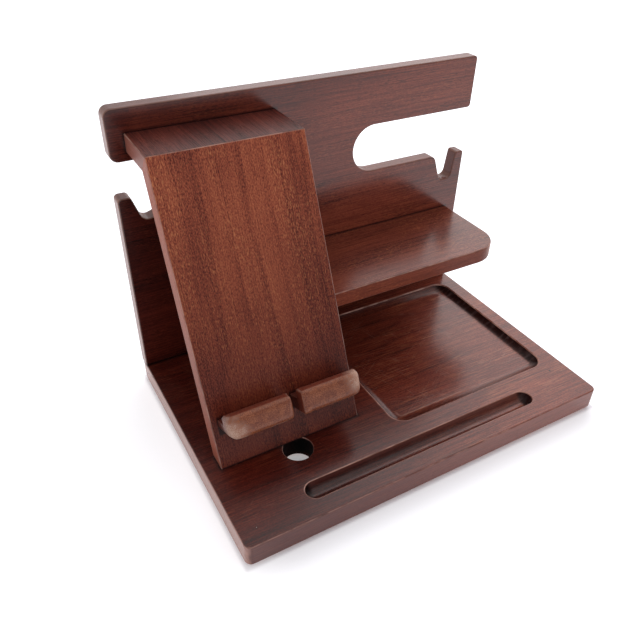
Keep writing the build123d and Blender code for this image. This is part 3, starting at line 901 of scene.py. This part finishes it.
def bare_corners(place, speckle, skin):
    """The ledges' outer corners, worn to bare wood."""
    off = [distance_from(place, corner) for corner in WORN_CORNERS]
    away = combined("MINIMUM", off)
    away = swayed(away, speckle["Coarse"], BARE_SWAY)
    away = swayed(away, speckle["Fine"], BARE_FINE_SWAY)
    bare = spread(away, *BARE_RANGE)
    wood = blend_colour(times(speckle["Fine"], BARE_MOTTLE), LEDGE_BARE, LEDGE_WORN)
    skin.colour = blend_colour(bare, skin.colour, wood)
    skin.rough = added(skin.rough, bare, BARE_ROUGHNESS)
    skin.coat = less_by(skin.coat, bare)


def ledge_details(place, normal, skin):
    """What only the ledges show."""
    speckle = use_group(SPECKLE, {"Place": place, "Size": LEDGE_SPECKLE})
    golden_front(place, normal, speckle, skin)
    bare_corners(place, speckle, skin)


LEDGE_FINISH = stained_wood(
    "ledge_finish",
    dark=(64, 20, 14), middle=(104, 44, 31), light=(130, 64, 46),
    fleck=(168, 100, 68), side=(118, 56, 42), rubbed=(182, 140, 122),
    heart=(0.0, -40.0, -20.0), square=-STAND_LEAN,
    rings=0.15, pitch=3.0, fibres=0.4, clouds=0.4,
    pores=0.45, pore_width=0.4, pore_length=2.0, flecks=0.3, fleck_length=1.6,
    side_share=0.2,
    rub=0.5,
    gloss=0.7, gloss_roughness=0.27,
    details=ledge_details,
)


def even_block(node_name):
    """A ledge's CAD block as a piece of small even faces, and its mesh."""
    shape = bmesh.new()
    shape.from_mesh(nodes[node_name].data)
    bmesh.ops.remove_doubles(shape, verts=shape.verts, dist=MERGE_DISTANCE)
    block = bpy.data.meshes.new(node_name + "_rounded")
    shape.to_mesh(block)
    shape.free()
    piece = new_object(node_name + "_rounded", block)
    remesh = piece.modifiers.new("even_mesh", "REMESH")
    remesh.mode = "VOXEL"
    remesh.voxel_size = LEDGE_VOXEL
    even = bpy.data.meshes.new_from_object(piece.evaluated_get(bpy.context.evaluated_depsgraph_get()))
    piece.modifiers.clear()
    piece.data = even
    bpy.data.meshes.remove(block)
    even.name = node_name + "_rounded"
    return piece, even


def sanded_parts(shape, low, high, crisp_end):
    """The points that sanding moves: all of the lip's, those away from the crisp end, and the slot's too."""
    lip, rounded, everywhere = [], [], []
    for vert in shape.verts:
        out = (vert.co - STAND_TOE).dot(SLOPE_OUT)
        up = (vert.co - STAND_TOE).dot(SLOPE_UP)
        from_end = min(vert.co.x - low.x, high.x - vert.co.x)
        in_slot = up > SLOT_HEIGHT - FREE_MARGIN and out < SLOT_DEPTH + FREE_MARGIN
        in_dowel = abs(up - DOWEL_HEIGHT) < DOWEL_ROOM and out < DOWEL_DEPTH and from_end > DOWEL_ROOM
        if out > SEAT_DEPTH and not in_dowel:
            everywhere.append(vert)
            if not in_slot:
                lip.append(vert)
                if crisp_end is None or abs(vert.co.x - crisp_end) > CRISP_LENGTH:
                    rounded.append(vert)
    return lip, rounded, everywhere


def rounded_ledge(node_name, crisp_end):
    """A ledge from its CAD block, evenly meshed and then smoothed outside the seat, slot and dowel holes.

    The crisp end is the place along X of an end that is smoothed less, if it has one.
    """
    piece, even = even_block(node_name)
    shape = bmesh.new()
    shape.from_mesh(even)
    lip, rounded, everywhere = sanded_parts(shape, *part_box(node_name), crisp_end)
    for verts, passes in ((lip, FIRST_PASSES), (rounded, ROUNDING_PASSES), (everywhere, EVEN_PASSES)):
        for _ in range(passes):
            bmesh.ops.smooth_vert(
                shape, verts=verts, factor=0.5, use_axis_x=True, use_axis_y=True, use_axis_z=True
            )
    bmesh.ops.recalc_face_normals(shape, faces=shape.faces)
    for face in shape.faces:
        face.smooth = True
    shape.to_mesh(even)
    shape.free()
    even.materials.clear()
    even.materials.append(LEDGE_FINISH)
    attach(piece, BODY)
    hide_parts(node_name)


# Fixings, pads and hidden joinery
ZINC_DARK, ZINC_LIGHT, ZINC_DULL = tint(168, 170, 172), tint(206, 207, 205), tint(150, 150, 148)
ZINC_SPECKLE, DULL_SHARE = 0.35, 0.35
ZINC_ROUGHNESS, SPOT_ROUGHNESS = 0.26, 0.16
ZINC_RELIEF, RUBBER_RELIEF = (0.02, 0.35), (0.06, 0.6)
GRIME_COLOUR, GRIME_ROUGHNESS = tint(70, 64, 60), 0.3
GRIME_RANGE = (0.15, 1.2, 0.0, 0.75)  # of the depth below the head's face
RUBBER_DARK, RUBBER_LIGHT, RUBBER_DUST = tint(34, 34, 35), tint(52, 51, 51), tint(120, 114, 108)
RUBBER_SPECKLE, RUBBER_SHEEN = 0.3, 0.3
RUBBER_ROUGHNESS, RUBBER_GRAIN = 0.72, 0.12
RUBBER_DUSTY, SCUFFED_MORE = 0.15, 0.25
SCUFFED_RANGE = (-0.5, -0.95)  # of how far a face looks up


def zinc_steel(name, axis, head_face, inward):
    """Zinc-plated screws: a fine grain, dull spots, and grime in the cross.

    The grime deepens along an axis from the head's face. Inward is 1 or -1, the way into the head.
    """
    material = bpy.data.materials.new(name)
    tree = emptied_tree(material)
    place = place_in_millimetres(tree)
    speckle = use_group(SPECKLE, {"Place": place, "Size": ZINC_SPECKLE})
    sunk = times(reckon("SUBTRACT", parts_of(place)[axis], head_face), inward)
    grime = spread(sunk, *GRIME_RANGE)
    colour = blend_colour(speckle["Coarse"], ZINC_DARK, ZINC_LIGHT)
    colour = blend_colour(times(speckle["Fine"], DULL_SHARE), colour, ZINC_DULL)
    rough = added(ZINC_ROUGHNESS, speckle["Coarse"], SPOT_ROUGHNESS)
    inputs = {
        "Base Color": blend_colour(grime, colour, GRIME_COLOUR),
        "Metallic": 1.0,
        "Roughness": added(rough, grime, GRIME_ROUGHNESS),
        "Normal": bumped(speckle["Fine"], *ZINC_RELIEF),
    }
    show(fed("ShaderNodeBsdfPrincipled", inputs))
    return material


def pad_rubber():
    """Dark rubber with a moulded grain, dusty round its sides and scuffed where it stands."""
    material = bpy.data.materials.new("pad_rubber_finish")
    tree = emptied_tree(material)
    place = place_in_millimetres(tree)
    speckle = use_group(SPECKLE, {"Place": place, "Size": RUBBER_SPECKLE})
    down = spread(parts_of(surface_normal(tree))[Z], *SCUFFED_RANGE)
    dusty = times(speckle["Coarse"], added(RUBBER_DUSTY, down, SCUFFED_MORE))
    colour = blend_colour(speckle["Fine"], RUBBER_DARK, RUBBER_LIGHT)
    inputs = {
        "Base Color": blend_colour(dusty, colour, RUBBER_DUST),
        "Roughness": added(RUBBER_ROUGHNESS, speckle["Fine"], RUBBER_GRAIN),
        "Specular IOR Level": RUBBER_SHEEN,
        "Normal": bumped(speckle["Fine"], *RUBBER_RELIEF),
    }
    show(fed("ShaderNodeBsdfPrincipled", inputs))
    return material


def fixing_finishes():
    """The finish of each screw row, dowel pair, tongue and pad, by its node's name."""
    bare_wood = stained_wood(
        "bare_dowel_wood",
        dark=(176, 138, 98), middle=(206, 172, 130), light=(226, 198, 160),
        fleck=(232, 206, 168), side=(204, 168, 126), rubbed=(224, 196, 158),
        rings=0.3, pitch=1.4, sway=1.5, fibres=0.55,
        pores=0.6, pore_width=0.42,
        side_share=0.45, side_gloss=0.0,
        rub=0.2,
        gloss=0.0, roughness=0.65,
    )
    beneath = zinc_steel("zinc_steel_beneath", Z, BASE_LOW.z / MM, 1.0)
    behind = zinc_steel("zinc_steel_behind", Y, PANEL_HIGH.y / MM, -1.0)
    rubber = pad_rubber()
    finishes = {name: bare_wood for name in ("mitre_spline", "left_ledge_dowels", "right_ledge_dowels")}
    finishes.update({name: beneath for name in ("panel_screws", "stand_screws")})
    finishes.update({name: behind for name in ("shelf_screws", "top_board_screws")})
    for corner in ("front_left", "front_right", "back_left", "back_right"):
        finishes["foot_" + corner] = rubber
    return finishes


for node_name, finish in {**FINISHES, **fixing_finishes()}.items():
    nodes[node_name].material_slots[0].material = finish
rounded_ledge("left_ledge", None)
rounded_ledge("right_ledge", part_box("right_ledge")[0].x)

# Floor and light
ROOM_IN_FRONT = 0.2  # how bright the room in front of the object is in its gloss, where white is 1
ROOM_BEHIND, ROOM_OVERHEAD = (-0.45, 0.1), (0.5, 0.8)  # where along Y and up Z the room turns white
FILL = (-0.7, 0.7, 0.65, 0.9)  # from the left to the right, and the fill's level there
WHITE = (1.0, 1.0, 1.0, 1.0)
FLOOR_SIZE = 3.0
FLOOR_COLOUR = (0.80, 0.79, 0.84, 1.0)
FLOOR_GLOW = 0.55  # what the floor gives off where it is seen or mirrored, and not under the base
GLOW_EDGE = 3.0  # millimetres past the base where that glow is whole; nearer the base it fades as a painted contact shadow
FRONT_SHADE = 0.22  # what the glow loses along the base's front, where the shadow falls
FRONT_SHADE_REACH = 35.0
FRONT_SHADE_START = 30.0  # millimetres in from the base's left end
UNDERSIDE_LIGHT = 2.4  # for surfaces within UNDERSIDE_REACH of the floor, so that the underside can be seen
UNDERSIDE_REACH = 1.9 * MM
LAMP_AIM = Vector((0.0, 0.0, 0.08))  # the middle of the object


def floor_glow(tree, path):
    """What the floor gives off: white where it is seen, less in a painted shadow next to the base, and light
    for the underside.
    """
    seen = [path[name] for name in ("Is Camera Ray", "Is Glossy Ray", "Is Transmission Ray")]
    place = place_in_millimetres(tree)
    # painted shadow: the glow fades out at the base's edge and dims along its front
    glow = spread(outside_box(place, *BASE_BOX), 0.0, GLOW_EDGE, 0.0, FLOOR_GLOW)
    (left, front, low), (right, _, _) = BASE_BOX
    from_front = outside_box(place, (left + FRONT_SHADE_START, front, low), (right, front, low))
    shade = spread(from_front, 0.0, FRONT_SHADE_REACH, FRONT_SHADE, 0.0)
    glow = reckon("MAXIMUM", reckon("SUBTRACT", glow, shade), 0.0)
    glow = times(combined("MAXIMUM", seen), glow)
    close = reckon("LESS_THAN", path["Ray Length"], UNDERSIDE_REACH)
    return added(glow, times(close, path["Is Diffuse Ray"]), UNDERSIDE_LIGHT)


def white_floor():
    """A plain white floor that keeps the object's shadow, and that is clear when looked at from beneath."""
    shape = bmesh.new()
    bmesh.ops.create_grid(shape, x_segments=1, y_segments=1, size=FLOOR_SIZE)
    mesh = bpy.data.meshes.new("studio_floor")
    shape.to_mesh(mesh)
    shape.free()
    floor = new_object("studio_floor", mesh)
    material = bpy.data.materials.new("floor_white")
    tree = emptied_tree(material)
    path = put(tree, "ShaderNodeLightPath").outputs
    matt = put(tree, "ShaderNodeBsdfDiffuse", {"Color": FLOOR_COLOUR})
    shine = fed("ShaderNodeEmission", {"Strength": floor_glow(tree, path)})
    both = fed("ShaderNodeAddShader", {0: matt.outputs[0], 1: shine.outputs[0]})
    from_beneath = put(tree, "ShaderNodeNewGeometry").outputs["Backfacing"]
    clear = put(tree, "ShaderNodeBsdfTransparent")
    show(fed("ShaderNodeMixShader", {0: from_beneath, 1: both.outputs[0], 2: clear.outputs[0]}))
    mesh.materials.append(material)


def white_room():
    """The world: white where it is seen, a dim room in front where it is mirrored, and a soft fill."""
    world = bpy.data.worlds.new("studio_room")
    bpy.context.scene.world = world
    tree = emptied_tree(world)
    path = put(tree, "ShaderNodeLightPath").outputs
    toward = parts_of(put(tree, "ShaderNodeTexCoord").outputs["Generated"])
    behind = spread(toward[Y], *ROOM_BEHIND)
    overhead = spread(toward[Z], *ROOM_OVERHEAD)
    bright = reckon("MAXIMUM", behind, overhead)
    mirrored = added(ROOM_IN_FRONT, bright, 1.0 - ROOM_IN_FRONT)
    fill = spread(toward[X], *FILL)
    level = blend_value(path["Is Glossy Ray"], fill, mirrored)
    seen = reckon("MAXIMUM", path["Is Camera Ray"], path["Is Transmission Ray"])
    level = blend_value(seen, level, 1.0)
    light = fed("ShaderNodeBackground", {"Color": WHITE, "Strength": level})
    show(light, "ShaderNodeOutputWorld")


def soft_lamp(name, place, wide, high, brightness, mirrored):
    """A soft rectangular lamp that faces the middle of the object."""
    lamp = bpy.data.lights.new(name, "AREA")
    lamp.shape = "RECTANGLE"
    lamp.size = wide
    lamp.size_y = high
    lamp.energy = brightness * math.pi * wide * high
    holder = new_object(name, lamp)
    holder.location = place
    holder.rotation_euler = (LAMP_AIM - holder.location).to_track_quat("-Z", "Y").to_euler()
    holder.visible_glossy = mirrored


def photo_camera():
    """The camera, where the photograph was taken from."""
    camera_data = bpy.data.cameras.new("photo_camera")
    camera_data.lens = CAMERA_LENS
    camera_data.sensor_width = CAMERA_SENSOR
    camera = new_object("photo_camera", camera_data)
    camera.location = CAMERA_PLACE
    camera.rotation_euler = [math.radians(value) for value in CAMERA_TURN]
    return camera


white_floor()
white_room()
soft_lamp("window_behind", (0.85, 0.9, 0.95), wide=1.6, high=1.1, brightness=0.9, mirrored=True)
soft_lamp("near_right", (0.55, 0.42, 0.5), wide=0.5, high=0.4, brightness=3.4, mirrored=False)
bpy.context.scene.camera = photo_camera()
bpy.context.scene.view_settings.view_transform = "Standard"
